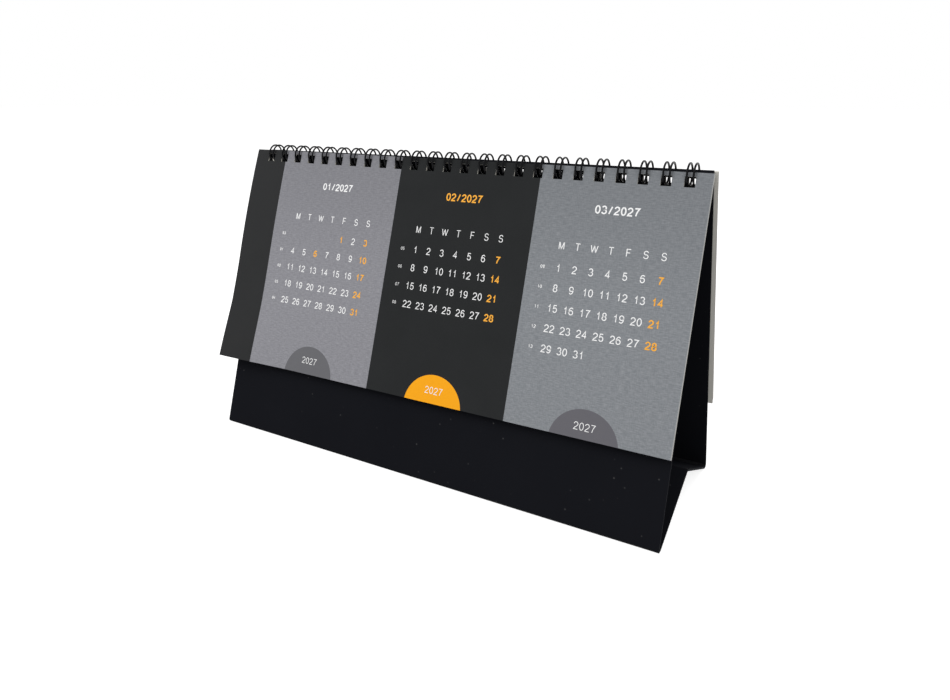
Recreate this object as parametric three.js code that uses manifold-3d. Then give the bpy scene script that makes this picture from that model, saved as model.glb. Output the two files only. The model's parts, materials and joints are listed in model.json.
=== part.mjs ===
// Three-month desk calendar: a folded card easel with a twin-loop wire binding and two packs of leaves.
// Millimetres. +X runs along the width, -Y faces the reader, +Z is up.
// The origin is on the table, under the middle of the easel.

import * as THREE from 'three';
import { mergeVertices } from 'three/addons/utils/BufferGeometryUtils.js';
import Module from 'manifold-3d';

const wasm = await Module();
wasm.setup();

// Easel card
const STAND_WIDTH = 214.5;
const STAND_SHIFT = 1.5;
const STAND_HEIGHT = 133.5;
const HALF_DEPTH = 39.5;
const CARD = 0.9;
const TOP_SPREAD = 0.4;
const CREASE_HEIGHT = 15.5;
const FOOT_LAND = 2.6;
const FOLD_RADIUS = 0.8;
const FOLD_STEPS = 4;

// Binding
const LOOP_COUNT = 25;
const LOOP_PITCH = 25.4 / 3;
const HOLE_SIZE = 4;
const STAND_HOLE_MARGIN = 3;
const LEAF_HOLE_MARGIN = 2.2;
const WIRE = 0.8;
const RING_RADIUS = 4.4;
const RING_DROP = 1.9;
const TWIN_SPACING = 2.4;
const SEAM_GAP = 0.45;
const SPINE_BEND = 1;
const RING_STEPS = 10;
const TIP_STEPS = 4;
const BEND_STEPS = 2;
const WIRE_SIDES = 6;

// Leaves
const LEAF_WIDTH = 221.5;
const LEAF_SHIFT = -0.75;
const LEAF_LENGTH = 105.6;
const TRIM_SKEW = 1.6;
const PACK_THICKNESS = 0.8;
const LEAF_TOP_OVER_FOOT = 1.3;
const LEAF_STANDOFF = 2.5;
const FRONT_LEAN = THREE.MathUtils.degToRad(1.1);
const BACK_LEAN = THREE.MathUtils.degToRad(0.7);
const CURL_RISE = 4.5;
const CURL_WIDTH = 60;
const CURL_LENGTH = 50;
const BACK_BOW = 1;
const LEAF_COLUMNS = 20;
const LEAF_ROWS = 14;

const cardBlack = new THREE.MeshStandardMaterial({ color: 0x1b1d20, roughness: 0.75, metalness: 0 });
const wireBlack = new THREE.MeshStandardMaterial({ color: 0x0b0b0c, roughness: 0.35, metalness: 0.2 });
const printedPaper = new THREE.MeshStandardMaterial({ color: 0x3a3b40, roughness: 0.7, metalness: 0 });
const creamPaper = new THREE.MeshStandardMaterial({ color: 0xf0ebdc, roughness: 0.8, metalness: 0 });

// Everything that seats on the binding is placed from the rings' common centre.
const ringCentre = new THREE.Vector2(0, STAND_HEIGHT - RING_DROP);
const topFace = CARD + TOP_SPREAD / 2;
const panelLean = Math.atan2(HALF_DEPTH - topFace, STAND_HEIGHT);
const loopPlaces = Array.from({ length: LOOP_COUNT }, (_, i) => (i - (LOOP_COUNT - 1) / 2) * LOOP_PITCH);

// Merges the shared vertices, so that the faces close into one solid for cutting.
function toSolid(geometry) {
  const bare = geometry.clone();
  bare.deleteAttribute('normal');
  bare.deleteAttribute('uv');
  const merged = mergeVertices(bare, 1e-5);
  return new wasm.Manifold(new wasm.Mesh({
    numProp: 3,
    vertProperties: new Float32Array(merged.attributes.position.array),
    triVerts: new Uint32Array(merged.index.array),
  }));
}

function toGeometry(solid) {
  const mesh = solid.getMesh();
  const geometry = new THREE.BufferGeometry();
  geometry.setAttribute('position', new THREE.BufferAttribute(new Float32Array(mesh.vertProperties), 3));
  geometry.setIndex(new THREE.BufferAttribute(new Uint32Array(mesh.triVerts), 1));
  return geometry;
}

// Square punch holes in a row, margin below the sheet's top edge. place(s) gives (Y, Z) on the sheet.
function punches(margin, lean, place) {
  const holes = loopPlaces.map((x) => {
    const box = new THREE.BoxGeometry(HOLE_SIZE, 2 * RING_RADIUS, HOLE_SIZE);
    box.rotateX(lean);
    const [y, z] = place(margin + HOLE_SIZE / 2);
    box.translate(x, y, z);
    return toSolid(box);
  });
  return wasm.Manifold.union(holes);
}

// A polyline whose inner corners are rounded by arcs of one radius.
function roundedPath(corners, radius, steps) {
  const points = [corners[0]];
  for (let i = 1; i < corners.length - 1; i += 1) {
    const into = corners[i].clone().sub(corners[i - 1]).normalize();
    const out = corners[i + 1].clone().sub(corners[i]).normalize();
    const turn = Math.atan2(into.cross(out), into.dot(out));
    const reach = radius * Math.tan(Math.abs(turn) / 2);
    const start = corners[i].clone().addScaledVector(into, -reach);
    const side = new THREE.Vector2(-into.y, into.x).multiplyScalar(Math.sign(turn) * radius);
    const centre = start.clone().add(side);
    for (let k = 0; k <= steps; k += 1) {
      points.push(start.clone().rotateAround(centre, (turn * k) / steps));
    }
  }
  points.push(corners[corners.length - 1]);
  return points;
}

// A strip of card seen from its end: both faces lie half a thickness from the rounded middle line.
function stripOutline(line, thickness) {
  const sideways = line.map((point, i) => {
    const before = line[Math.max(i - 1, 0)];
    const after = line[Math.min(i + 1, line.length - 1)];
    const along = after.clone().sub(before).normalize();
    return new THREE.Vector2(-along.y, along.x).multiplyScalar(thickness / 2);
  });
  const left = line.map((point, i) => point.clone().add(sideways[i]));
  const right = line.map((point, i) => point.clone().sub(sideways[i]));
  return new THREE.Shape([...left, ...right.reverse()]);
}

// The easel is one card: front panel, two halves of a base that is creased upwards, and back panel.
function easelStand() {
  const half = CARD / 2;
  const topMiddle = topFace - half / Math.cos(panelLean);
  const footMiddle = HALF_DEPTH - half / Math.cos(panelLean) - half * Math.tan(panelLean);
  const halfProfile = [
    new THREE.Vector2(-topMiddle, STAND_HEIGHT),
    new THREE.Vector2(-footMiddle, half),
    new THREE.Vector2(-footMiddle + FOOT_LAND, half),
  ];
  const crease = new THREE.Vector2(0, CREASE_HEIGHT);
  const mirrored = halfProfile.map((p) => new THREE.Vector2(-p.x, p.y)).reverse();
  const line = roundedPath([...halfProfile, crease, ...mirrored], FOLD_RADIUS, FOLD_STEPS);
  const extruded = new THREE.ExtrudeGeometry(stripOutline(line, CARD), {
    depth: STAND_WIDTH, bevelEnabled: false,
  });
  // The section was drawn as (Y, Z); this turns it upright and runs it along X.
  const toUpright = new THREE.Matrix4().makeBasis(
    new THREE.Vector3(0, 1, 0), new THREE.Vector3(0, 0, 1), new THREE.Vector3(1, 0, 0));
  extruded.applyMatrix4(toUpright);
  extruded.translate(STAND_SHIFT - STAND_WIDTH / 2, 0, 0);

  const onPanel = (side) => (s) => [
    side * (topMiddle + s * Math.sin(panelLean)),
    STAND_HEIGHT - s * Math.cos(panelLean),
  ];
  const card = toSolid(extruded)
    .subtract(punches(STAND_HOLE_MARGIN, -panelLean, onPanel(-1)))
    .subtract(punches(STAND_HOLE_MARGIN, panelLean, onPanel(1)));
  return toGeometry(card);
}

// A wire path through given points; each step of the extrusion lands on one of them.
class WirePath extends THREE.Curve {
  constructor(points) {
    super();
    this.points = points;
  }

  getPoint(t, target = new THREE.Vector3()) {
    const place = Math.min(Math.max(t, 0), 1) * (this.points.length - 1);
    const i = Math.min(Math.floor(place), this.points.length - 2);
    return target.lerpVectors(this.points[i], this.points[i + 1], place - i);
  }

  getPointAt(t, target) {
    return this.getPoint(t, target);
  }

  getTangentAt(t, target) {
    return this.getTangent(t, target);
  }
}

// One wire makes every loop. It is laid out flat as (x, u), where u runs round the ring from its
// lowest point towards the reader, and is then wrapped on the ring. Each loop goes out as one of
// its twin wires, turns back in a hairpin tip and returns beside it; the spine joins the loops.
function wireBinding() {
  const turn = TWIN_SPACING / 2;
  const around = 2 * Math.PI * RING_RADIUS;
  const spine = (SEAM_GAP + WIRE) / 2;
  const tip = around - spine;
  const flat = [];
  loopPlaces.forEach((x, loop) => {
    const first = loop === 0;
    const last = loop === LOOP_COUNT - 1;
    for (let k = first ? BEND_STEPS : 0; k <= BEND_STEPS; k += 1) {
      const a = (k / BEND_STEPS) * (Math.PI / 2);
      flat.push([x - turn - SPINE_BEND * (1 - Math.sin(a)), spine + SPINE_BEND * (1 - Math.cos(a))]);
    }
    const from = spine + SPINE_BEND;
    const to = tip - turn;
    for (let k = 1; k < RING_STEPS; k += 1) {
      flat.push([x - turn, from + ((to - from) * k) / RING_STEPS]);
    }
    for (let k = 0; k <= TIP_STEPS; k += 1) {
      const a = (k / TIP_STEPS) * Math.PI;
      flat.push([x - turn * Math.cos(a), to + turn * Math.sin(a)]);
    }
    for (let k = RING_STEPS - 1; k > 0; k -= 1) {
      flat.push([x + turn, from + ((to - from) * k) / RING_STEPS]);
    }
    for (let k = BEND_STEPS; k >= (last ? BEND_STEPS : 0); k -= 1) {
      const a = (k / BEND_STEPS) * (Math.PI / 2);
      flat.push([x + turn + SPINE_BEND * (1 - Math.sin(a)), spine + SPINE_BEND * (1 - Math.cos(a))]);
    }
  });
  const points = flat.map(([x, u]) => new THREE.Vector3(
    x,
    ringCentre.x - RING_RADIUS * Math.sin(u / RING_RADIUS),
    ringCentre.y - RING_RADIUS * Math.cos(u / RING_RADIUS),
  ));
  const section = new THREE.Shape();
  for (let k = 0; k < WIRE_SIDES; k += 1) {
    const a = (2 * Math.PI * k) / WIRE_SIDES;
    const point = [(WIRE / 2) * Math.cos(a), (WIRE / 2) * Math.sin(a)];
    if (k === 0) section.moveTo(...point);
    else section.lineTo(...point);
  }
  return new THREE.ExtrudeGeometry(section, {
    steps: points.length - 1, extrudePath: new WirePath(points), bevelEnabled: false,
  });
}

const smooth = (value) => THREE.MathUtils.smoothstep(value, 0, 1);

// A pack of leaves hangs from the rings on one side (-1 front, 1 back), punched like the card.
// lift(x, s) is how far the paper stands off its plane, x from the leaf's middle, s below its top.
// The foot is trimmed a little out of square, longer on the left.
function leafPack(side, lean, lift) {
  const slope = panelLean + lean;
  const down = new THREE.Vector2(side * Math.sin(slope), -Math.cos(slope));
  const away = new THREE.Vector2(side * Math.cos(slope), Math.sin(slope));
  const place = (s, off) => ringCentre.clone()
    .addScaledVector(down, s - LEAF_TOP_OVER_FOOT)
    .addScaledVector(away, LEAF_STANDOFF + off);
  const sheet = new THREE.BoxGeometry(
    LEAF_WIDTH, PACK_THICKNESS, LEAF_LENGTH, LEAF_COLUMNS, 1, LEAF_ROWS);
  const position = sheet.attributes.position;
  for (let i = 0; i < position.count; i += 1) {
    const x = position.getX(i);
    const square = LEAF_LENGTH / 2 - position.getZ(i);
    const s = square * (1 - (TRIM_SKEW / LEAF_LENGTH) * (x / LEAF_WIDTH));
    const depth = side * position.getY(i) + PACK_THICKNESS / 2;
    const point = place(s, depth + lift(x, s));
    position.setXYZ(i, x + LEAF_SHIFT, point.x, point.y);
  }
  const onLeaf = (s) => place(s, PACK_THICKNESS / 2).toArray();
  return toGeometry(toSolid(sheet).subtract(punches(LEAF_HOLE_MARGIN, side * slope, onLeaf)));
}

// The front pack springs off the card, and its lower left corner curls towards the reader.
function frontLeaves() {
  return leafPack(-1, FRONT_LEAN, (x, s) => {
    const toLeft = smooth((CURL_WIDTH - LEAF_WIDTH / 2 - x) / CURL_WIDTH);
    const toBottom = smooth((s - LEAF_LENGTH + CURL_LENGTH) / CURL_LENGTH);
    return CURL_RISE * toLeft * toBottom;
  });
}

// The leaves that are turned over hang behind, bowed a little away from the card.
function backLeaves() {
  return leafPack(1, BACK_LEAN, (x, s) => {
    const below = Math.max(s - LEAF_HOLE_MARGIN - HOLE_SIZE, 0) / LEAF_LENGTH;
    return BACK_BOW * below * below;
  });
}

function named(name, geometry, material) {
  const mesh = new THREE.Mesh(geometry, material);
  mesh.name = name;
  return mesh;
}

const calendar = new THREE.Group();
calendar.add(named('easel_stand', easelStand(), cardBlack));
calendar.add(named('wire_binding', wireBinding(), wireBlack));
calendar.add(named('front_leaves', frontLeaves(), printedPaper));
calendar.add(named('back_leaves', backLeaves(), creamPaper));

export default calendar;
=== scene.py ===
import json
import math

import bpy
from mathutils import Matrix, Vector


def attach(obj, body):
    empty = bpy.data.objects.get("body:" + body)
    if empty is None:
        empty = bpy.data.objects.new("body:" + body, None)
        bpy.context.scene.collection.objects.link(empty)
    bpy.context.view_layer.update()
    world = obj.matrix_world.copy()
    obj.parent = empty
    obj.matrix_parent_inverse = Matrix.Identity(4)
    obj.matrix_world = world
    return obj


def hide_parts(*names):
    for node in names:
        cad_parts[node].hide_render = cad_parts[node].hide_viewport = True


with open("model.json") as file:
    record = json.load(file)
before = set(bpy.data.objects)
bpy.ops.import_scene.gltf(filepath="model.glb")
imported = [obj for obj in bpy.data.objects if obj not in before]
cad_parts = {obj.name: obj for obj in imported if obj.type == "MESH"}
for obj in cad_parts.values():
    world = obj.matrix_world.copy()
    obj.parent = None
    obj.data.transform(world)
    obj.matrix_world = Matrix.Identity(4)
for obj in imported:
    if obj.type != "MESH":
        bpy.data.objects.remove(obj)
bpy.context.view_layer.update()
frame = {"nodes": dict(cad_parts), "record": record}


# The reader's place is to the right of the calendar, a little above its top edge and close to it.
# The lens points left of the picture's middle and above it, as in a print cut from a larger one.
MM = 0.001
PICTURE_WIDTH = 950
PICTURE_HEIGHT = 700
EYE = Vector((163.1, -285.5, 159.1)) * MM
TURNED_RIGHT = math.radians(31.99)
LOOKING_DOWN = math.radians(12.98)
FOCAL_PIXELS = 748.2
LENS_POINT = (422.3, 270.6)
SENSOR = 36
NEAREST = 10 * MM

camera_data = bpy.data.cameras.new("reader")
camera_data.sensor_width = SENSOR
camera_data.lens = FOCAL_PIXELS * SENSOR / PICTURE_WIDTH
camera_data.shift_x = (PICTURE_WIDTH / 2 - LENS_POINT[0]) / PICTURE_WIDTH
camera_data.shift_y = (LENS_POINT[1] - PICTURE_HEIGHT / 2) / PICTURE_WIDTH
camera_data.clip_start = NEAREST
camera = bpy.data.objects.new("reader", camera_data)
towards_eye = Vector((
    math.sin(TURNED_RIGHT) * math.cos(LOOKING_DOWN),
    -math.cos(TURNED_RIGHT) * math.cos(LOOKING_DOWN),
    math.sin(LOOKING_DOWN),
))
camera.location = EYE
camera.rotation_mode = "QUATERNION"
camera.rotation_quaternion = towards_eye.to_track_quat("Z", "Y")
bpy.context.collection.objects.link(camera)
bpy.context.scene.camera = camera
bpy.context.scene.view_settings.view_transform = "Standard"


# The table top is plain and white. A wide soft lamp stands in front on the left, a weaker one on
# the right, a third behind, and the pale room lights it from all round.
WHITE = (1, 1, 1, 1)
TABLE_GREY = (0.45, 0.45, 0.45, 1)
TABLE_GLOW = 0.82
TABLE_REACH = 12
ROOM_LIGHT = 0.66
LAMPS_AIM = Vector((0, 0, 0.06))
LAMPS = {
    "key": dict(place=(-0.34, -0.50, 0.66), size=0.5, power=3.5, in_gloss=False),
    "fill": dict(place=(0.95, -0.55, 0.55), size=0.8, power=2.4, in_gloss=False),
    "behind": dict(place=(0.1, 0.9, 0.8), size=0.9, power=5.0, in_gloss=True),
}


class Value:
    """A socket of a node tree; a sum written on it adds the Math nodes that work it out."""

    def __init__(self, graph, socket):
        self.graph = graph
        self.socket = socket

    def math(self, operation, *others):
        inputs = dict(enumerate((self, *others)))
        return self.graph.node("ShaderNodeMath", {"operation": operation}, inputs)

    def reflected(self, operation, other):
        return self.graph.node("ShaderNodeMath", {"operation": operation}, {0: other, 1: self})

    def __add__(self, other):
        return self.math("ADD", other)

    __radd__ = __add__

    def __sub__(self, other):
        return self.math("SUBTRACT", other)

    def __rsub__(self, other):
        return self.reflected("SUBTRACT", other)

    def __mul__(self, other):
        return self.math("MULTIPLY", other)

    __rmul__ = __mul__

    def __truediv__(self, other):
        return self.math("DIVIDE", other)

    def __rtruediv__(self, other):
        return self.reflected("DIVIDE", other)

    def __mod__(self, other):
        return self.math("FLOORED_MODULO", other)

    def __pow__(self, other):
        return self.math("POWER", other)

    def __gt__(self, other):
        return self.math("GREATER_THAN", other)

    def __lt__(self, other):
        return self.math("LESS_THAN", other)

    def floor(self):
        return self.math("FLOOR")

    def sin(self):
        return self.math("SINE")

    def cos(self):
        return self.math("COSINE")

    def at_least(self, other):
        return self.math("MAXIMUM", other)

    def at_most(self, other):
        return self.math("MINIMUM", other)


class Graph:
    """A node tree; node() adds one node, sets it up and gives back one of its outputs."""

    def __init__(self, tree):
        self.tree = tree

    def node(self, kind, settings=None, inputs=None, out=0):
        made = self.tree.nodes.new(kind)
        for name, setting in (settings or {}).items():
            setattr(made, name, setting)
        for name, given in (inputs or {}).items():
            if isinstance(given, Value):
                self.tree.links.new(given.socket, made.inputs[name])
            else:
                made.inputs[name].default_value = given
        return Value(self, made.outputs[out]) if len(made.outputs) else made

    def ramp(self, value, low, high):
        """From 0 at low to 1 at high, eased at both ends."""
        bounds = {"Value": value, "From Min": low, "From Max": high}
        return self.node("ShaderNodeMapRange", {"interpolation_type": "SMOOTHSTEP"}, bounds)

    def blend(self, factor, first, second):
        """One colour over another by a factor."""
        return self.node("ShaderNodeMix", {"data_type": "RGBA"}, {0: factor, 6: first, 7: second}, 2)


def new_material(name):
    """An empty material, and its graph to fill."""
    material = bpy.data.materials.new(name)
    material.use_nodes = True
    material.node_tree.nodes.clear()
    return material, Graph(material.node_tree)


def seen_by_eye(graph):
    """1 for what is seen straight, in a gloss or through glass, and 0 for the light on a piece."""
    seen = graph.node("ShaderNodeLightPath", out="Is Camera Ray")
    for ray in ("Is Glossy Ray", "Is Transmission Ray"):
        seen = seen.at_least(graph.node("ShaderNodeLightPath", out=ray))
    return seen


table_finish, graph = new_material("white_table")
lit = graph.node("ShaderNodeBsdfDiffuse", inputs={"Color": TABLE_GREY})
glow = graph.node("ShaderNodeEmission", inputs={"Color": WHITE, "Strength": TABLE_GLOW})
both = graph.node("ShaderNodeAddShader", inputs={0: lit, 1: glow})
mixed = graph.node("ShaderNodeMixShader", inputs={0: seen_by_eye(graph), 1: lit, 2: both})
graph.node("ShaderNodeOutputMaterial", inputs={"Surface": mixed})

table_mesh = bpy.data.meshes.new("table_top")
table_corners = [
    (TABLE_REACH * right, TABLE_REACH * back, 0) for right, back in ((-1, -1), (1, -1), (1, 1), (-1, 1))]
table_mesh.from_pydata(table_corners, [], [(0, 1, 2, 3)])
table_mesh.materials.append(table_finish)
table_top = bpy.data.objects.new("table_top", table_mesh)
bpy.context.collection.objects.link(table_top)

room = bpy.data.worlds.new("room")
room.use_nodes = True
room.node_tree.nodes.clear()
graph = Graph(room.node_tree)
soft = graph.node("ShaderNodeBackground", inputs={"Color": WHITE, "Strength": ROOM_LIGHT})
bright = graph.node("ShaderNodeBackground", inputs={"Color": WHITE, "Strength": 1.0})
mixed = graph.node("ShaderNodeMixShader", inputs={0: seen_by_eye(graph), 1: soft, 2: bright})
graph.node("ShaderNodeOutputWorld", inputs={"Surface": mixed})
bpy.context.scene.world = room

for name, lamp in LAMPS.items():
    light = bpy.data.lights.new(name, "AREA")
    light.size = lamp["size"]
    light.energy = lamp["power"]
    lamp_object = bpy.data.objects.new(name, light)
    lamp_object.location = lamp["place"]
    beam = LAMPS_AIM - lamp_object.location
    lamp_object.rotation_mode = "QUATERNION"
    lamp_object.rotation_quaternion = beam.to_track_quat("-Z", "Y")
    lamp_object.visible_glossy = lamp["in_gloss"]
    bpy.context.collection.objects.link(lamp_object)


# The easel is one folded card, covered in matt black paper, and stays as it was cut and folded.
# The paper has a fine tooth and faint specks of dust, and is rubbed paler where the folds stand.
CARD_BLACK = (0.0071, 0.0075, 0.0097, 1)
CARD_FADED = (0.0097, 0.0102, 0.0129, 1)
CARD_RUBBED = (0.075, 0.073, 0.070, 1)
DUST = (0.10, 0.10, 0.10, 1)
DUST_SIZE = (0.12, 0.05)
DUST_PATCHES = (0.50, 0.66)
DUST_DEPTH = 0.5
RUB_HEIGHT = (1.3 * MM, 0.2 * MM)
RUB_PATCHES = (0.60, 0.92)
RUB_DEPTH = 0.8

card_finish, graph = new_material("black_card")
place = graph.node("ShaderNodeTexCoord", out="Object")
height = graph.node("ShaderNodeSeparateXYZ", inputs={0: place}, out="Z")
tooth = graph.node("ShaderNodeTexNoise", inputs={"Vector": place, "Scale": 2600.0, "Detail": 4.0})
cloud = graph.node("ShaderNodeTexNoise", inputs={"Vector": place, "Scale": 28.0, "Detail": 3.0})
grit = graph.node("ShaderNodeTexVoronoi", inputs={"Vector": place, "Scale": 260.0}, out="Distance")
chance = graph.node("ShaderNodeTexNoise", inputs={"Vector": place, "Scale": 75.0, "Detail": 1.0})
speck = graph.ramp(grit, *DUST_SIZE) * graph.ramp(chance, *DUST_PATCHES)
rub = graph.ramp(height, *RUB_HEIGHT) * graph.ramp(cloud + 0.5 * tooth, *RUB_PATCHES)
shade = graph.blend(cloud, CARD_BLACK, CARD_FADED)
shade = graph.blend(DUST_DEPTH * speck, shade, DUST)
shade = graph.blend(RUB_DEPTH * rub, shade, CARD_RUBBED)
bump = graph.node("ShaderNodeBump", inputs={"Height": tooth, "Strength": 0.25, "Distance": 0.05 * MM})
surface = graph.node("ShaderNodeBsdfPrincipled", inputs={
    "Base Color": shade, "Roughness": 0.55 + 0.2 * cloud, "Normal": bump, "Specular IOR Level": 0.01})
graph.node("ShaderNodeOutputMaterial", inputs={"Surface": surface})

easel = frame["nodes"]["easel_stand"]
easel.data.materials.clear()
easel.data.materials.append(card_finish)


# The binding is one black coated wire. It is bent flat into a row of hairpins, fed through the
# holes and rolled shut into twin loops, with the hairpin tips closed against the spine.
LOOPS = 25
HAIRPIN_CORNERS = 4
LOOP_PITCH = 25.4 / 3 * MM
WIRE_RADIUS = 0.4 * MM
TWIN_SPACING = 2.4 * MM
RING_RADIUS = 4.4 * MM
SEAM_GAP = 0.45 * MM
BEND_RADIUS = 1.15 * MM
BEND_POINTS = 7
WIRE_STEP = 0.36 * MM
WIRE_SIDES = 10
RING_HEIGHT = frame["record"]["behaviour"]["joints"][0]["pos_m"][2]
WIRE_BLACK = (0.001, 0.001, 0.002, 1)
WIRE_WORN = (0.004, 0.004, 0.005, 1)

wire_finish, graph = new_material("black_wire")
place = graph.node("ShaderNodeTexCoord", out="Object")
coat = graph.node("ShaderNodeTexNoise", inputs={"Vector": place, "Scale": 900.0, "Detail": 3.0})
patch = graph.node("ShaderNodeTexNoise", inputs={"Vector": place, "Scale": 120.0, "Detail": 2.0})
shade = graph.blend(patch, WIRE_BLACK, WIRE_WORN)
bump = graph.node("ShaderNodeBump", inputs={"Height": coat, "Strength": 0.15, "Distance": 0.03 * MM})
surface = graph.node("ShaderNodeBsdfPrincipled", inputs={
    "Base Color": shade, "Roughness": 0.24 + 0.2 * patch, "Normal": bump, "Specular IOR Level": 0.12})
graph.node("ShaderNodeOutputMaterial", inputs={"Surface": surface})


def new_recipe(name, sizes, geometry_in=False):
    """A geometry tree with named inputs for its material and sizes; gives the tree, its graph
    and the inputs."""
    tree = bpy.data.node_groups.new(name, "GeometryNodeTree")
    if geometry_in:
        tree.interface.new_socket("Geometry", in_out="INPUT", socket_type="NodeSocketGeometry")
    tree.interface.new_socket("Geometry", in_out="OUTPUT", socket_type="NodeSocketGeometry")
    tree.interface.new_socket("Material", in_out="INPUT", socket_type="NodeSocketMaterial")
    for size in sizes:
        tree.interface.new_socket(size, in_out="INPUT", socket_type="NodeSocketFloat")
    graph = Graph(tree)
    entry = tree.nodes.new("NodeGroupInput")
    given = {socket.name: Value(graph, socket) for socket in entry.outputs if socket.name}
    return tree, graph, given


def end_recipe(graph, geometry, given):
    """Ends a geometry tree: real geometry in the material that it was given."""
    real = graph.node("GeometryNodeRealizeInstances", inputs={"Geometry": geometry})
    done = graph.node("GeometryNodeSetMaterial", inputs={
        "Geometry": real, "Material": given["Material"]})
    graph.node("NodeGroupOutput", inputs={"Geometry": done})


def add_recipe(blank, tree, sizes):
    """Puts a recipe on an object, with its sizes."""
    modifier = blank.modifiers.new(tree.name, "NODES")
    modifier.node_group = tree
    for item in tree.interface.items_tree:
        if item.item_type == "SOCKET" and item.in_out == "INPUT" and item.name in sizes:
            modifier[item.identifier] = sizes[item.name]


def cook(blank, tree, sizes, name):
    """Runs a recipe on an object, after those that it has, and keeps the plain mesh."""
    add_recipe(blank, tree, sizes)
    bpy.context.view_layer.update()
    graph_now = bpy.context.evaluated_depsgraph_get()
    mesh = bpy.data.meshes.new_from_object(blank.evaluated_get(graph_now))
    mesh.name = name
    piece = bpy.data.objects.new(name, mesh)
    bpy.context.collection.objects.link(piece)
    bpy.data.objects.remove(blank)
    return piece


def blank_object(name, mesh=None):
    """The object that a recipe starts from: empty, or with a flat mesh."""
    blank = bpy.data.objects.new(name + "_blank", mesh or bpy.data.meshes.new(name + "_blank"))
    bpy.context.collection.objects.link(blank)
    return blank


tree, graph, size = new_recipe("twin_loop_wire", [
    "Loops", "Pitch", "Ring radius", "Ring height", "Twin spacing", "Seam gap", "Bend radius",
    "Wire radius", "Step"])
corners = graph.node("GeometryNodeMeshLine", {"mode": "OFFSET"}, {"Count": HAIRPIN_CORNERS * LOOPS})
path = graph.node("GeometryNodeMeshToCurve", inputs={"Mesh": corners})
index = graph.node("GeometryNodeInputIndex")
loop = (index / HAIRPIN_CORNERS).floor()
corner = index % HAIRPIN_CORNERS
# Corner 0 is where a hairpin leaves the spine, 1 and 2 are its tip, and at 3 it is back.
returning = corner > 1.5
at_tip = (corner > 0.5) * (corner < 2.5)
spine = size["Seam gap"] / 2 + size["Wire radius"]
around = 2 * math.pi * size["Ring radius"]
across = (loop - (size["Loops"] - 1) / 2) * size["Pitch"] + (returning - 0.5) * size["Twin spacing"]
along = spine + at_tip * (around - 2 * spine)
laid = graph.node("ShaderNodeCombineXYZ", inputs={"X": across, "Y": along})
path = graph.node("GeometryNodeSetPosition", inputs={"Geometry": path, "Position": laid})
path = graph.node("GeometryNodeFilletCurve", {"mode": "POLY"}, {
    "Curve": path, "Count": BEND_POINTS, "Radius": size["Bend radius"], "Limit Radius": True})
path = graph.node("GeometryNodeResampleCurve", {"mode": "LENGTH"}, {
    "Curve": path, "Length": size["Step"]})
flat_place = graph.node("GeometryNodeInputPosition")
flat_x = graph.node("ShaderNodeSeparateXYZ", inputs={0: flat_place}, out="X")
flat_y = graph.node("ShaderNodeSeparateXYZ", inputs={0: flat_place}, out="Y")
angle = flat_y / size["Ring radius"]
rolled = graph.node("ShaderNodeCombineXYZ", inputs={
    "X": flat_x,
    "Y": 0 - size["Ring radius"] * angle.sin(),
    "Z": size["Ring height"] - size["Ring radius"] * angle.cos(),
})
path = graph.node("GeometryNodeSetPosition", inputs={"Geometry": path, "Position": rolled})
section = graph.node("GeometryNodeCurvePrimitiveCircle", inputs={
    "Resolution": WIRE_SIDES, "Radius": size["Wire radius"]})
wire = graph.node("GeometryNodeCurveToMesh", inputs={
    "Curve": path, "Profile Curve": section, "Fill Caps": True})
end_recipe(graph, wire, size)
binding = cook(blank_object("twin_loops"), tree, {
    "Material": wire_finish, "Loops": float(LOOPS), "Pitch": LOOP_PITCH,
    "Ring radius": RING_RADIUS, "Ring height": RING_HEIGHT, "Twin spacing": TWIN_SPACING,
    "Seam gap": SEAM_GAP, "Bend radius": BEND_RADIUS, "Wire radius": WIRE_RADIUS,
    "Step": WIRE_STEP}, "twin_loops")
binding.data.shade_smooth()
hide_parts("wire_binding")
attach(binding, "stand")


# The leaves are single sheets of smooth uncoated paper, punched with a row of square holes and
# hung on the rings. The top sheet in front carries the print.
LEAF_WIDTH = 221.5 * MM
LEAF_SHIFT = -0.75 * MM
LEAF_LENGTH = 104.4 * MM
TRIM_SKEW = 2.6 * MM
RIGHT_INSET = 0.1 * MM
RIGHT_TAPER = 0.6 * MM
HOLE = 4 * MM
HOLE_MARGIN = 1.6 * MM
SHEET = 0.11 * MM
LEAF_ROWS = 30
TOP_OVER_FOOT = 0.8 * MM
HANGS_ASKEW = math.radians(0.235)
STANDOFF = 2.5 * MM
PACK = 0.8 * MM
EASEL_HEIGHT = 133.5 * MM
EASEL_HALF_DEPTH = 39.5 * MM
EASEL_TOP_HALF = 1.1 * MM
PANEL_LEAN = math.atan2(EASEL_HALF_DEPTH - EASEL_TOP_HALF, EASEL_HEIGHT)
FRONT_SLOPE = PANEL_LEAN + math.radians(0.85)
BACK_SLOPE = PANEL_LEAN + math.radians(0.7)
CURL_WIDTH = 45 * MM
CURL_FROM = 55 * MM
CURL_LENGTH = 60 * MM
BELLY_LENGTH = 78 * MM
PAPER = (0.80, 0.78, 0.72, 1)
PAPER_SHADE = (0.72, 0.70, 0.64, 1)
# The colour of the paper's cut edges is painted shade, darker than the paper itself.
PAINTED_EDGE_SHADE = (0.31, 0.305, 0.285, 1)
EDGE_SHADE_FACING = 0.8

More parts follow.
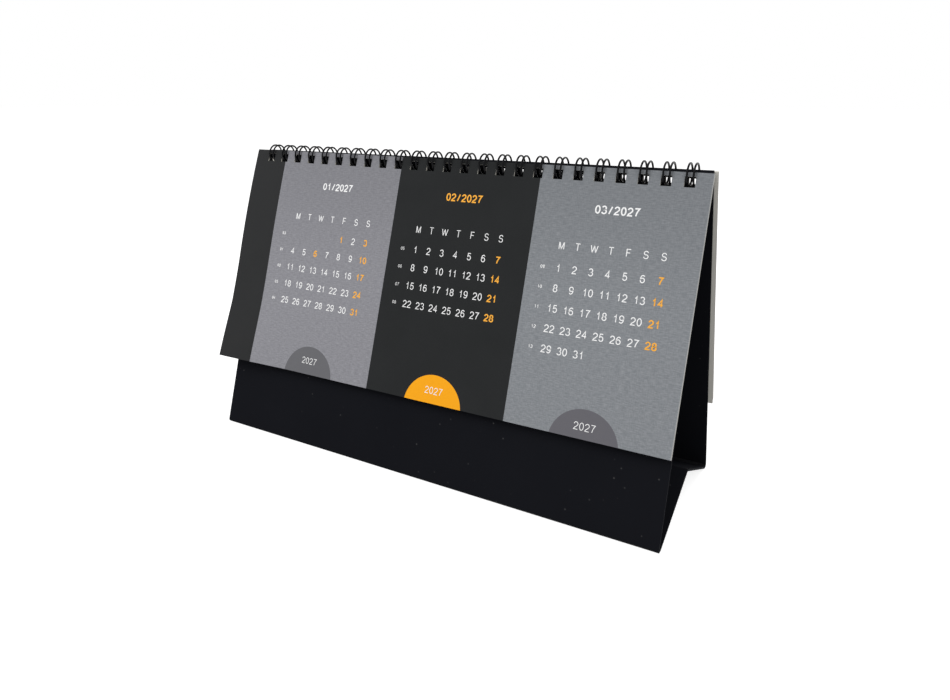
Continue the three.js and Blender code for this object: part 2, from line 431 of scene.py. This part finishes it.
paper_finish, graph = new_material("cream_paper")
place = graph.node("ShaderNodeTexCoord", out="Object")
fibre = graph.node("ShaderNodeTexNoise", inputs={"Vector": place, "Scale": 3000.0, "Detail": 4.0})
cloud = graph.node("ShaderNodeTexNoise", inputs={"Vector": place, "Scale": 60.0, "Detail": 4.0})
facing = graph.node("ShaderNodeTexCoord", out="Normal")
sideways = graph.node("ShaderNodeSeparateXYZ", inputs={0: facing}, out="X").math("ABSOLUTE")
downwards = 0 - graph.node("ShaderNodeSeparateXYZ", inputs={0: facing}, out="Z")
shade = graph.blend(0.6 * cloud + 0.25 * fibre, PAPER, PAPER_SHADE)
# Painted shade: cut edges and hole walls that face either side or downwards get a darker paper colour for
# the shade they lie in.
shade = graph.blend(sideways.at_least(downwards) > EDGE_SHADE_FACING, shade, PAINTED_EDGE_SHADE)
bump = graph.node("ShaderNodeBump", inputs={"Height": fibre, "Strength": 0.2, "Distance": 0.03 * MM})
surface = graph.node("ShaderNodeBsdfPrincipled", inputs={
    "Base Color": shade, "Roughness": 0.68 + 0.15 * cloud, "Normal": bump, "Specular IOR Level": 0.2})
graph.node("ShaderNodeOutputMaterial", inputs={"Surface": surface})

# A sheet is laid out as a margin, three columns to a loop with the hole in the middle one, and a
# second margin. Its first row ends at the top of the holes and its second row at their foot.
COLUMNS_PER_LOOP = 3
CELLS = COLUMNS_PER_LOOP * LOOPS + 2
sheet_tree, graph, size = new_recipe("punched_sheet", [
    "Width", "Shift", "Length", "Trim skew", "Right inset", "Right taper", "Pitch", "Hole",
    "Margin", "Loops", "Rows"])
grid = graph.node("GeometryNodeMeshGrid", inputs={
    "Size X": CELLS, "Size Y": LEAF_ROWS, "Vertices X": CELLS + 1, "Vertices Y": LEAF_ROWS + 1})
spot = graph.node("GeometryNodeInputPosition")
column = graph.node("ShaderNodeSeparateXYZ", inputs={0: spot}, out="X") + CELLS / 2
row = LEAF_ROWS / 2 - graph.node("ShaderNodeSeparateXYZ", inputs={0: spot}, out="Y")
hole_column = ((column - 1).floor() % COLUMNS_PER_LOOP).math("COMPARE", 1, 0.1)
hole_row = row.floor().math("COMPARE", 1, 0.1)
punched = graph.node("GeometryNodeDeleteGeometry", {"domain": "FACE"}, {
    "Geometry": grid, "Selection": hole_column * hole_row})
upright = (column + 0.5).floor()
on_left = upright < 0.5
on_right = upright > CELLS - 0.5
between = (upright > 0.5) * (upright < CELLS - 0.5)
loop = ((upright - 1) / COLUMNS_PER_LOOP).floor()
part = (upright - 1) % COLUMNS_PER_LOOP
middle = (loop - (size["Loops"] - 1) / 2) * size["Pitch"]
pitch_start = (part < 0.5) * (0 - size["Pitch"] / 2)
across = middle + pitch_start + (part > 0.5) * (part - 1.5) * size["Hole"]
left_edge = size["Shift"] - size["Width"] / 2
right_edge = size["Shift"] + size["Width"] / 2
across = on_left * left_edge + on_right * right_edge + between * across
line = (row + 0.5).floor()
below = (line - 2).at_least(0)
under_holes = size["Margin"] + size["Hole"]
length = size["Length"] - size["Trim skew"] * (across - size["Shift"]) / size["Width"]
from_top = (line > 0.5) * size["Margin"] + (line > 1.5) * size["Hole"]
from_top = from_top + below * (length - under_holes) / (size["Rows"] - 2)
across = across - on_right * (size["Right inset"] + size["Right taper"] * from_top / size["Length"])
flat = graph.node("ShaderNodeCombineXYZ", inputs={"X": across, "Y": 0 - from_top})
placed = graph.node("GeometryNodeSetPosition", inputs={"Geometry": punched, "Position": flat})
spot_now = graph.node("GeometryNodeInputPosition")
mapped = graph.node("GeometryNodeStoreNamedAttribute", {
    "data_type": "FLOAT2", "domain": "CORNER"}, {"Geometry": placed, "Name": "UVMap"})
map_inputs = mapped.socket.node.inputs
map_value = next(socket for socket in map_inputs if socket.name == "Value" and socket.enabled)
graph.tree.links.new(spot_now.socket, map_value)
end_recipe(graph, mapped, size)

# A hung sheet leans beside the rings' middle line at its standoff, and its top edge lies a little
# above the point that is nearest to that line. It may curl up at the lower left and bow outwards.
hang_tree, graph, size = new_recipe("hung_on_rings", [
    "Side", "Slope", "Ring height", "Top over foot", "Askew", "Standoff", "Left edge", "Length",
    "Curl rise", "Curl width", "Curl from", "Curl length", "Belly", "Belly length", "Bow",
    "Bow from"], geometry_in=True)
spot = graph.node("GeometryNodeInputPosition")
flat_x = graph.node("ShaderNodeSeparateXYZ", inputs={0: spot}, out="X")
from_top = 0 - graph.node("ShaderNodeSeparateXYZ", inputs={0: spot}, out="Y")
thick = graph.node("ShaderNodeSeparateXYZ", inputs={0: spot}, out="Z")
from_curl = size["Left edge"] + size["Curl width"] - flat_x
to_left = graph.ramp(from_curl / size["Curl width"], 0.0, 1.0)
to_bottom = graph.ramp((from_top - size["Curl from"]) / size["Curl length"], 0.0, 1.0)
through_belly = (from_top / size["Belly length"]).at_most(1).at_least(0)
belly = 4 * size["Belly"] * through_belly * (1 - through_belly)
below = (from_top - size["Bow from"]).at_least(0) / size["Length"]
lifted = to_left * (size["Curl rise"] * to_bottom + belly)
off = size["Standoff"] + thick + lifted + size["Bow"] * below * below
down = from_top - size["Top over foot"] + size["Askew"] * flat_x
hung = graph.node("ShaderNodeCombineXYZ", inputs={
    "X": 0 - size["Side"] * flat_x,
    "Y": size["Side"] * (down * size["Slope"].sin() + off * size["Slope"].cos()),
    "Z": size["Ring height"] - down * size["Slope"].cos() + off * size["Slope"].sin(),
})
moved = graph.node("GeometryNodeSetPosition", inputs={"Geometry": size["Geometry"], "Position": hung})
end_recipe(graph, moved, size)


def hanging(side, slope, standoff, **shape):
    """The sizes that the hanging recipe needs for one sheet or one layer of print."""
    return {
        "Side": side, "Slope": slope, "Ring height": RING_HEIGHT, "Top over foot": TOP_OVER_FOOT,
        "Standoff": standoff, "Left edge": LEAF_SHIFT - LEAF_WIDTH / 2, "Length": LEAF_LENGTH,
        "Curl width": CURL_WIDTH, "Curl from": CURL_FROM, "Curl length": CURL_LENGTH,
        "Belly length": BELLY_LENGTH, "Bow from": HOLE_MARGIN + HOLE, **shape}


def hung_sheet(name, side, finish, hang, longer, wider=0.0, skew=0.0, inset=0.0, taper=0.0):
    """One punched sheet of paper, given its thickness while flat and then hung. A sheet behind is
    laid out in mirror image and turned over."""
    blank = blank_object(name)
    add_recipe(blank, sheet_tree, {
        "Material": finish, "Width": LEAF_WIDTH + wider, "Shift": -side * LEAF_SHIFT,
        "Length": LEAF_LENGTH + longer, "Trim skew": -side * skew, "Right inset": inset,
        "Right taper": taper, "Pitch": LOOP_PITCH, "Hole": HOLE, "Margin": HOLE_MARGIN,
        "Loops": float(LOOPS), "Rows": float(LEAF_ROWS)})
    wall = blank.modifiers.new("thickness", "SOLIDIFY")
    wall.thickness = SHEET
    wall.offset = 1
    sheet = cook(blank, hang_tree, {"Material": finish, **hang}, name)
    sheet.data.shade_flat()
    return sheet


FRONT_SHEETS = 5
FRONT_CURL = 3.9 * MM
FRONT_BELLY = 1.5 * MM
FRONT_FAN = 0.8 * MM
FRONT_UNEVEN = 0.4 * MM
UNEVEN_STEP = 2.4


def front_hanging(level, lift=0.0):
    """How a front sheet hangs: level 0 is the sheet next to the easel, 1 the printed one."""
    return hanging(-1.0, FRONT_SLOPE, STANDOFF + level * (PACK - SHEET) + lift, **{
        "Askew": HANGS_ASKEW, "Curl rise": FRONT_CURL, "Belly": FRONT_BELLY,
        "Bow": FRONT_FAN * level})


def front_leaf(number, finish):
    """One front sheet, from 1 next to the easel to the printed one; the plain ones are cut a
    little unevenly."""
    level = (number - 1) / (FRONT_SHEETS - 1)
    uneven = -FRONT_UNEVEN * (1 - math.cos(UNEVEN_STEP * number)) / 2 * (level < 1)
    leaf = hung_sheet(
        f"front_leaf_{number}", -1.0, finish, front_hanging(level), longer=uneven, wider=uneven,
        skew=TRIM_SKEW, inset=RIGHT_INSET, taper=RIGHT_TAPER)
    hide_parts("front_leaves")
    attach(leaf, "front_leaves")


for number in range(1, FRONT_SHEETS):
    front_leaf(number, paper_finish)

# The sheets turned over behind lie in two bunches, the inner one a little longer.
BACK_SHEETS = 6
BACK_BOW = 1 * MM
BACK_FAN = 0.9 * MM
BACK_NARROWER = 0.1 * MM
BACK_LONGER = 0.4 * MM
BACK_SKEW = 0.5 * MM
INNER_LONGER = 1.3 * MM
INNER_GAP = 0.25 * MM
for number in range(BACK_SHEETS):
    level = number / (BACK_SHEETS - 1)
    inner = level < 0.5
    apart = -INNER_GAP / 2 if inner else INNER_GAP / 2
    hang = hanging(1.0, BACK_SLOPE, STANDOFF + level * (PACK - SHEET), **{
        "Curl rise": 0.0, "Bow": BACK_BOW + BACK_FAN * level + apart})
    leaf = hung_sheet(
        f"back_leaf_{number + 1}", 1.0, paper_finish, hang,
        longer=BACK_LONGER + INNER_LONGER * inner, wider=-BACK_NARROWER, skew=BACK_SKEW)
    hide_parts("back_leaves")
    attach(leaf, "back_leaves")


# The top sheet is printed with a dark strip and three month panels, each with a half disc at the
# bottom edge that holds the year. The middle month is the marked one, and the grey of the others
# has a faint linen grain. Places on the sheet are in mm, across and down from its top edge.
PANEL_EDGES = (-92.2, -23.5, 43.7)
PANEL_MIDDLES = (-57.5, 10.5, 76.7)
DISC_RADIUS = 13.8
DISC_BELOW_EDGE = 1.6
# The painted highlight along the right edge: its width in mm, and how far it is blended towards paper.
EDGE_HIGHLIGHT_WIDTH = 0.28
EDGE_HIGHLIGHT_SHARE = 0.25
LINEN_DEPTH = 0.20
LINEN_CONTRAST = 2.4
LINEN_LIGHT = (0.55, 0.56, 0.58, 1)
WEFT_GRAIN = (0.45, 2.6, 1.0)
WARP_GRAIN = (2.6, 0.60, 1.0)
FLECK = 0.012
STRIP_INK = (0.0205, 0.0210, 0.0215, 1)
FIRST_INK = (0.219, 0.217, 0.239, 1)
MARKED_INK = (0.0145, 0.0155, 0.0160, 1)
LAST_INK = (0.195, 0.208, 0.224, 1)
# Painted shade on the grey panels near the top edge: its colour, its depth, and its reach in mm down from
# the top.
TOP_PAINTED_SHADE = (0.05, 0.055, 0.06, 1)
TOP_PAINTED_SHADE_DEPTH = 0.20
TOP_PAINTED_SHADE_REACH = (62.0, 2.0)
ORANGE = (0.93, 0.385, 0.0075, 1)
ORANGE_FIGURES = (1.0, 0.47, 0.06, 1)
DISC_INKS = ((0.133, 0.133, 0.143, 1), ORANGE, (0.129, 0.126, 0.141, 1))
FACING_FRONT = -0.7

print_finish, graph = new_material("month_print")
place = graph.node("ShaderNodeTexCoord", out="Object")
sheet_map = graph.node("ShaderNodeUVMap", {"uv_map": "UVMap"})
across = graph.node("ShaderNodeSeparateXYZ", inputs={0: sheet_map}, out="X") / MM
from_top = graph.node("ShaderNodeSeparateXYZ", inputs={0: sheet_map}, out="Y") / -MM
facing = graph.node("ShaderNodeTexCoord", out="Normal")
front_face = graph.node("ShaderNodeSeparateXYZ", inputs={0: facing}, out="Y") < FACING_FRONT
fibre = graph.node("ShaderNodeTexNoise", inputs={"Vector": place, "Scale": 3000.0, "Detail": 4.0})
cloud = graph.node("ShaderNodeTexNoise", inputs={"Vector": place, "Scale": 60.0, "Detail": 4.0})
past_strip, past_first, past_marked = (across > edge for edge in PANEL_EDGES)
ink = graph.blend(past_strip, STRIP_INK, FIRST_INK)
ink = graph.blend(past_first, ink, MARKED_INK)
ink = graph.blend(past_marked, ink, LAST_INK)
sheet_place = graph.node("ShaderNodeCombineXYZ", inputs={"X": across, "Y": from_top})
weft_place = graph.node("ShaderNodeMapping", inputs={"Vector": sheet_place, "Scale": WEFT_GRAIN})
warp_place = graph.node("ShaderNodeMapping", inputs={"Vector": sheet_place, "Scale": WARP_GRAIN})
weft = graph.node("ShaderNodeTexNoise", inputs={"Vector": weft_place, "Scale": 1.0, "Detail": 4.0})
warp = graph.node("ShaderNodeTexNoise", inputs={"Vector": warp_place, "Scale": 1.0, "Detail": 4.0})
linen = (1.25 * weft + 0.75 * warp - 0.8) * LINEN_CONTRAST
on_grey = past_strip * (1 - past_first * (across < PANEL_EDGES[2]))
ink = graph.blend(LINEN_DEPTH * on_grey * linen, ink, LINEN_LIGHT)
# Painted shade: the grey panels darken towards the top of the sheet, where less light falls.
painted_shade_near_top = graph.ramp(from_top, *TOP_PAINTED_SHADE_REACH)
ink = graph.blend(TOP_PAINTED_SHADE_DEPTH * on_grey * painted_shade_near_top, ink, TOP_PAINTED_SHADE)
centre_line = LEAF_LENGTH / MM + DISC_BELOW_EDGE
for middle, colour in zip(PANEL_MIDDLES, DISC_INKS):
    from_centre = ((across - middle) ** 2 + (from_top - centre_line) ** 2) ** 0.5
    ink = graph.blend(from_centre < DISC_RADIUS, ink, colour)
ink = graph.blend(FLECK * fibre + FLECK * cloud, ink, LINEN_LIGHT)
# Painted highlight: a hair along the right edge is blended part way to the paper colour, for the light
# that the cut edge catches.
right_edge = (LEAF_SHIFT + LEAF_WIDTH / 2 - RIGHT_INSET) / MM - from_top * (RIGHT_TAPER / LEAF_LENGTH)
ink = graph.blend(EDGE_HIGHLIGHT_SHARE * (across > right_edge - EDGE_HIGHLIGHT_WIDTH), ink, PAPER)
ink = graph.blend(front_face, PAPER_SHADE, ink)
bump = graph.node("ShaderNodeBump", inputs={
    "Height": 0.5 * fibre + 0.5 * linen, "Strength": 0.12, "Distance": 0.03 * MM})
surface = graph.node("ShaderNodeBsdfPrincipled", inputs={
    "Base Color": ink, "Roughness": 0.58 + 0.15 * cloud, "Normal": bump, "Specular IOR Level": 0.06})
graph.node("ShaderNodeOutputMaterial", inputs={"Surface": surface})
front_leaf(FRONT_SHEETS, print_finish)


# The figures are plain numbers set in one clear face, white for working days, and orange for
# Sundays, two feasts and the marked month's heading. They are printed on the top sheet, as a thin
# skin of ink that bends with it. Lines, heights and pitches are in mm, as on the printed sheet.
YEAR = 2027
MARKED_MONTH = 2
MONTHS = (
    dict(number=1, days=31, starts=4, pitch=6.94,
         weeks=(53, 1, 2, 3, 4), orange=(1, 3, 6, 10, 17, 24, 31)),
    dict(number=2, days=28, starts=0, pitch=6.66,
         weeks=(5, 6, 7, 8), orange=(7, 14, 21, 28)),
    dict(number=3, days=31, starts=0, pitch=6.6,
         weeks=(9, 10, 11, 12, 13), orange=(7, 14, 21, 28)),
)
INITIALS = "MTWTFSS"
WEEK_DAYS = len(INITIALS)
MIDDLE_DAY = 3
HEADING_LINE = 16.3
HEADING_HEIGHT = 3.4
INITIALS_LINE = 31.7
FIRST_ROW = 40.7
ROW_PITCH = 7.98
DAY_HEIGHT = 3.1
WEEK_HEIGHT = 1.4
WEEKS_LEFT_BY = 4
YEAR_LINE = 98.8
YEAR_HEIGHT = 3.0
INK_LIFT = 0.03 * MM
INK_DEPTH = 0.02 * MM
WHITE_FIGURES = (0.95, 0.95, 0.95, 1)
FADED_INK = 0.86

inks = {}
for name, colour in (("white_ink", WHITE_FIGURES), ("orange_ink", ORANGE_FIGURES)):
    inks[name], graph = new_material(name)
    place = graph.node("ShaderNodeTexCoord", out="Object")
    cloud = graph.node("ShaderNodeTexNoise", inputs={"Vector": place, "Scale": 900.0, "Detail": 3.0})
    faded = tuple(FADED_INK * channel for channel in colour[:3]) + (1,)
    shade = graph.blend(cloud, colour, faded)
    surface = graph.node("ShaderNodeBsdfPrincipled", inputs={
        "Base Color": shade, "Roughness": 0.5 + 0.15 * cloud, "Specular IOR Level": 0.2})
    graph.node("ShaderNodeOutputMaterial", inputs={"Surface": surface})


BOW_STEP = 18
FEWEST_STEPS = 3


def bow(middle, reach, start, end):
    """Points on part of an ellipse, from one angle to another in degrees."""
    count = max(FEWEST_STEPS, round(abs(end - start) / BOW_STEP))
    angles = [math.radians(start + (end - start) * k / count) for k in range(count + 1)]
    return [(middle[0] + reach[0] * math.cos(a), middle[1] + reach[1] * math.sin(a)) for a in angles]


# Each figure is drawn as the middle lines of its strokes, one unit tall on the base line. The
# advance from figure to figure and the weights of the strokes are shares of that height.
ADVANCE = 0.74
FINE, LIGHT, REGULAR, BOLD = 0.09, 0.11, 0.125, 0.165
MITRE_LIMIT = 2.2
SHARPEST_TURN = 0.1
SAME_POINT = 1e-6
STROKES = {
    "0": [bow((0, 0.5), (0.26, 0.5), 90, 450)],
    "1": [[(-0.17, 0.74)] + bow((-0.11, 0.98), (0.17, 0.24), -80, 0) + [(0.07, 1), (0.07, 0)]],
    "2": [bow((0, 0.71), (0.26, 0.29), 175, -22) + [(0.05, 0.38), (-0.17, 0.20), (-0.26, 0), (0.28, 0)]],
    "3": [bow((-0.01, 0.755), (0.23, 0.245), 165, -75) + bow((0, 0.27), (0.27, 0.27), 75, -165)],
    "4": [[(0.13, 0), (0.13, 1), (-0.27, 0.28), (0.29, 0.28)]],
    "5": [[(0.23, 1), (-0.16, 1), (-0.22, 0.50)] + bow((0, 0.32), (0.26, 0.32), 135, -162)],
    "6": [bow((0.03, 0.5), (0.29, 0.5), 45, 180) + bow((0, 0.31), (0.26, 0.31), 180, 540)],
    "7": [[(-0.27, 1), (0.27, 1), (0.10, 0.70), (-0.03, 0.36), (-0.09, 0)]],
    "8": [bow((0, 0.755), (0.22, 0.245), -90, 270) + bow((0, 0.26), (0.26, 0.26), 90, -270)],
    "9": [bow((-0.03, 0.5), (0.29, 0.5), 225, 360) + bow((0, 0.69), (0.26, 0.31), 0, 360)],
    "/": [[(-0.17, 0), (0.17, 1)]],
    "M": [[(-0.33, 0), (-0.33, 1)], [(-0.31, 1), (0, 0)], [(0, 0), (0.31, 1)], [(0.33, 1), (0.33, 0)]],
    "T": [[(-0.31, 1), (0.31, 1)], [(0, 1), (0, 0)]],
    "W": [[(-0.46, 1), (-0.23, 0)], [(-0.23, 0), (0, 1)], [(0, 1), (0.23, 0)], [(0.23, 0), (0.46, 1)]],
    "F": [[(-0.22, 0), (-0.22, 1), (0.28, 1)], [(-0.22, 0.52), (0.22, 0.52)]],
    "S": [bow((0, 0.75), (0.25, 0.25), 12, 250) + bow((0, 0.265), (0.28, 0.265), 70, -170)],
}


def ribbon(line, width):
    """The flat faces of one stroke: a band of even width along a line, mitred at its corners."""
    line = [Vector(point) for point in line]
    line = [p for i, p in enumerate(line) if i == 0 or (p - line[i - 1]).length > SAME_POINT]
    points = []
    for i, point in enumerate(line):
        into = (point - line[i - 1]).normalized() if i else None
        out = (line[i + 1] - point).normalized() if i + 1 < len(line) else None
        along = ((into or out) + (out or into)).normalized()
        normal = Vector((-along.y, along.x))
        square = Vector((-(into or out).y, (into or out).x))
        reach = min(1 / max(normal.dot(square), SHARPEST_TURN), MITRE_LIMIT) * width / 2
        points += [point + normal * reach, point - normal * reach]
    faces = [(2 * i, 2 * i + 1, 2 * i + 3, 2 * i + 2) for i in range(len(line) - 1)]
    return points, faces


def together(shapes):
    """Many flat shapes as one list of points and one of faces."""
    points, faces = [], []
    for some_points, some_faces in shapes:
        faces += [tuple(len(points) + i for i in face) for face in some_faces]
        points += some_points
    return points, faces


def figure(text, across, from_top, height, weight):
    """The flat faces of one number, centred at a place on the sheet."""
    strokes = []
    for place, sign in enumerate(text):
        middle = (place - (len(text) - 1) / 2) * ADVANCE
        for line in STROKES[sign]:
            inside = [(x * (1 - weight / 2) + middle, weight / 2 + y * (1 - weight)) for x, y in line]
            strokes.append(ribbon(inside, weight))
    points, faces = together(strokes)
    on_sheet = [((p.x * height + across) * MM, ((p.y - 0.5) * height - from_top) * MM, 0) for p in points]
    return on_sheet, faces


figures = {"white_ink": [], "orange_ink": []}
for month, middle in zip(MONTHS, PANEL_MIDDLES):
    marked = month["number"] == MARKED_MONTH
    thin, normal, small = (FINE, LIGHT, LIGHT) if marked else (LIGHT, REGULAR, BOLD)
    title = f"{month['number']:02d}/{YEAR}"
    figures["orange_ink" if marked else "white_ink"].append(
        figure(title, middle, HEADING_LINE, HEADING_HEIGHT, BOLD))
    columns = [middle + (day - MIDDLE_DAY) * month["pitch"] for day in range(WEEK_DAYS)]
    for initial, column in zip(INITIALS, columns):
        figures["white_ink"].append(figure(initial, column, INITIALS_LINE, DAY_HEIGHT, thin))
    weeks_column = middle - WEEKS_LEFT_BY * month["pitch"]
    for row, week in enumerate(month["weeks"]):
        figures["white_ink"].append(
            figure(f"{week:02d}", weeks_column, FIRST_ROW + row * ROW_PITCH, WEEK_HEIGHT, small))
    for day in range(1, month["days"] + 1):
        row, weekday = divmod(day - 1 + month["starts"], WEEK_DAYS)
        ink, weight = ("orange_ink", BOLD) if day in month["orange"] else ("white_ink", normal)
        figures[ink].append(
            figure(str(day), columns[weekday], FIRST_ROW + row * ROW_PITCH, DAY_HEIGHT, weight))
    figures["white_ink"].append(figure(str(YEAR), middle, YEAR_LINE, YEAR_HEIGHT, FINE))

for name, shapes in figures.items():
    points, faces = together(shapes)
    mesh = bpy.data.meshes.new(name)
    mesh.from_pydata(points, [], faces)
    blank = blank_object(name, mesh)
    wall = blank.modifiers.new("thickness", "SOLIDIFY")
    wall.thickness = INK_DEPTH
    wall.offset = 1
    layer = cook(blank, hang_tree, {
        "Material": inks[name], **front_hanging(1.0, SHEET + INK_LIFT)}, name + "_figures")
    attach(layer, "front_leaves")
